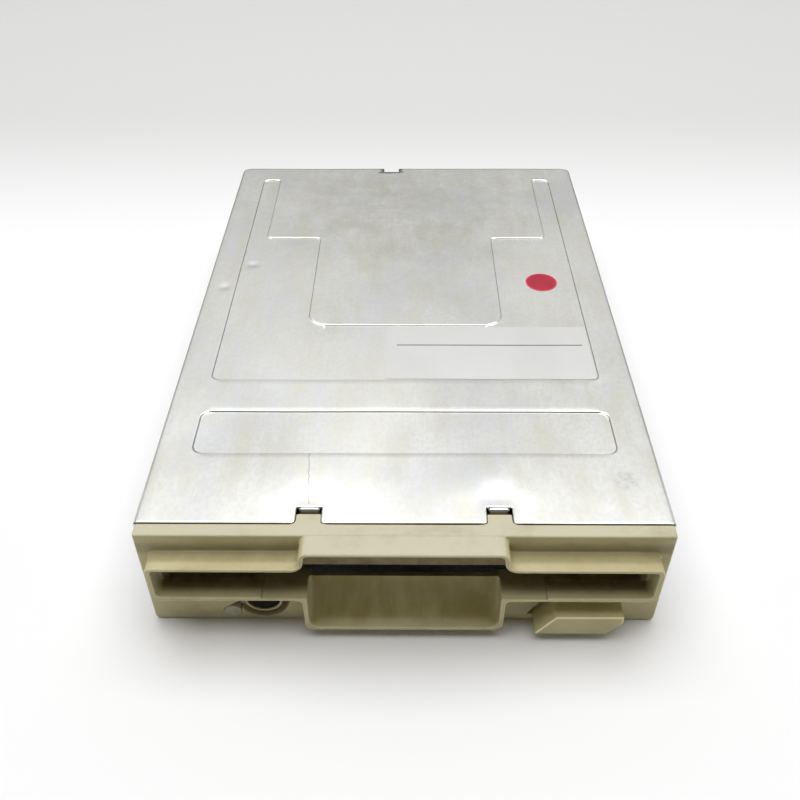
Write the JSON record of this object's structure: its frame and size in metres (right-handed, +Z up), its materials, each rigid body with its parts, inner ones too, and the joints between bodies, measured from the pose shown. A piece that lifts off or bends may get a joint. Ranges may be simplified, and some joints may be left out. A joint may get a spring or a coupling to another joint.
{
  "type": "floppy disk drive",
  "caption": "3.5-inch floppy disk drive: stamped steel cover, beige bezel with disk slot, finger scoop, eject button and lamp; working slide, disk holder, spindle and heads inside.",
  "frame": {"origin": "middle of the drive's underside, halfway between the eject button's front and the rear edge", "axes": "+X to the right as one looks at the bezel, +Y to the rear, where the connectors are, +Z up"},
  "size_m": [0.1016, 0.1542, 0.026],
  "materials": {
    "cover_sheet": "stained, brushed along the length",
    "beige_plastic": "fine moulded grain, yellowed",
    "button_plastic": "fine moulded grain",
    "dark_lens": "smooth, dark",
    "pale_plastic": "smooth",
    "casting": "as cast, satin",
    "bearing_brass": "sintered",
    "circuit_board": "solder mask",
    "coil_copper": "enamelled wire",
    "black_plastic": "moulded",
    "capacitor_sleeve": "smooth sleeve",
    "gold_contacts": "plated",
    "tinned_contacts": "tinned",
    "white_plastic": "moulded",
    "ground_steel": "ground",
    "plated_steel": "zinc plated",
    "magnet": "bonded ferrite"
  },
  "bodies": {
    "frame": {"top_cover": "cover_sheet", "front_bezel": "beige_plastic", "lamp_collar": "beige_plastic", "activity_lamp": "dark_lens", "indicator_pip": "pale_plastic", "chassis": "casting", "spindle_bearing": "bearing_brass", "motor_board": "circuit_board", "main_board": "circuit_board", "motor_coils": "coil_copper", "index_sensor": "black_plastic", "controller_chip": "black_plastic", "driver_chip": "black_plastic", "data_connector_shell": "black_plastic", "track_zero_sensor": "black_plastic", "write_protect_switch": "black_plastic", "density_switch": "black_plastic", "disk_switch": "black_plastic", "board_capacitor": "capacitor_sleeve", "data_connector_pins": "gold_contacts", "power_connector_pins": "tinned_contacts", "power_connector_shell": "white_plastic", "motor_ribbon_socket": "white_plastic", "main_ribbon_socket": "white_plastic", "motor_ribbon": "white_plastic", "main_guide_rod": "ground_steel", "side_guide_rod": "ground_steel", "front_rod_clamp": "plated_steel", "rear_rod_clamp": "plated_steel", "stepper_bracket": "plated_steel", "stepper_motor": "plated_steel", "screw_pivot": "plated_steel", "holder_spring_left": "plated_steel", "holder_spring_right": "plated_steel"},
    "slide": {"slide_plate": "plated_steel", "eject_button": "button_plastic"},
    "holder": {"disk_holder": "plated_steel", "front_roller_left": "ground_steel", "rear_roller_left": "ground_steel", "front_roller_right": "ground_steel", "rear_roller_right": "ground_steel", "lever_rivet": "ground_steel", "lever_spring": "plated_steel"},
    "lever": {"shutter_lever": "plated_steel"},
    "spindle": {"spindle_shaft": "ground_steel", "spindle_hub": "plated_steel", "drive_pin": "ground_steel", "rotor_cup": "plated_steel", "rotor_magnet": "magnet"},
    "screw": {"lead_screw": "ground_steel"},
    "carriage": {"head_carriage": "casting", "lower_head": "white_plastic", "screw_follower": "white_plastic", "arm_pin": "ground_steel"},
    "head_arm": {"upper_head_arm": "casting", "upper_head": "white_plastic"},
    "write_protect_key": {"write_protect_plunger": "white_plastic"},
    "density_key": {"density_plunger": "white_plastic"},
    "disk_key": {"disk_plunger": "white_plastic"}
  },
  "joints": [
    {"name": "eject_slide", "type": "slide", "parent": "frame", "child": "slide", "axis": [0, -1, 0], "range_m": [0, 0.005]},
    {"name": "holder_lift", "type": "slide", "parent": "frame", "child": "holder", "axis": [0, 0, -1], "range_m": [0, 0.0028], "deforming": ["holder_spring_left", "holder_spring_right"]},
    {"name": "head_arm_tilt", "type": "hinge", "parent": "carriage", "child": "head_arm", "pos_m": [0, 0.0379, 0.0145], "axis": [1, 0, 0], "range_deg": [0, 13]},
    {"name": "lever_swing", "type": "hinge", "parent": "holder", "child": "lever", "pos_m": [-0.038, 0.0269, 0.0187], "axis": [0, 0, 1], "range_deg": [0, 53], "stiffness_Nm_per_rad": 0.002, "springref_deg": -17.19},
    {"name": "spindle_turn", "type": "hinge", "parent": "frame", "child": "spindle", "pos_m": [0, -0.0201, 0.006], "axis": [0, 0, 1], "continuous": true},
    {"name": "screw_turn", "type": "hinge", "parent": "frame", "child": "screw", "pos_m": [0.028, 0.0409, 0.0146], "axis": [0, 1, 0], "range_deg": [-710.5, 710.5]},
    {"name": "head_travel", "type": "slide", "parent": "frame", "child": "carriage", "axis": [0, 1, 0], "range_m": [-0.0074, 0.0074]},
    {"name": "write_protect_press", "type": "slide", "parent": "frame", "child": "write_protect_key", "axis": [0, 0, -1], "range_m": [0, 0.0009], "stiffness_N_per_m": 60, "springref_m": -0.0008},
    {"name": "density_press", "type": "slide", "parent": "frame", "child": "density_key", "axis": [0, 0, -1], "range_m": [0, 0.0009], "stiffness_N_per_m": 60, "springref_m": -0.0008},
    {"name": "disk_press", "type": "slide", "parent": "frame", "child": "disk_key", "axis": [0, 0, -1], "range_m": [0, 0.0009], "stiffness_N_per_m": 60, "springref_m": -0.0008}
  ],
  "couplings": [
    {"joint": "holder_lift", "follows": "eject_slide", "ratio": 0.56},
    {"joint": "head_arm_tilt", "follows": "eject_slide", "rad_per_m": 45.379},
    {"joint": "screw_turn", "follows": "head_travel", "rad_per_m": 1675.5}
  ]
}
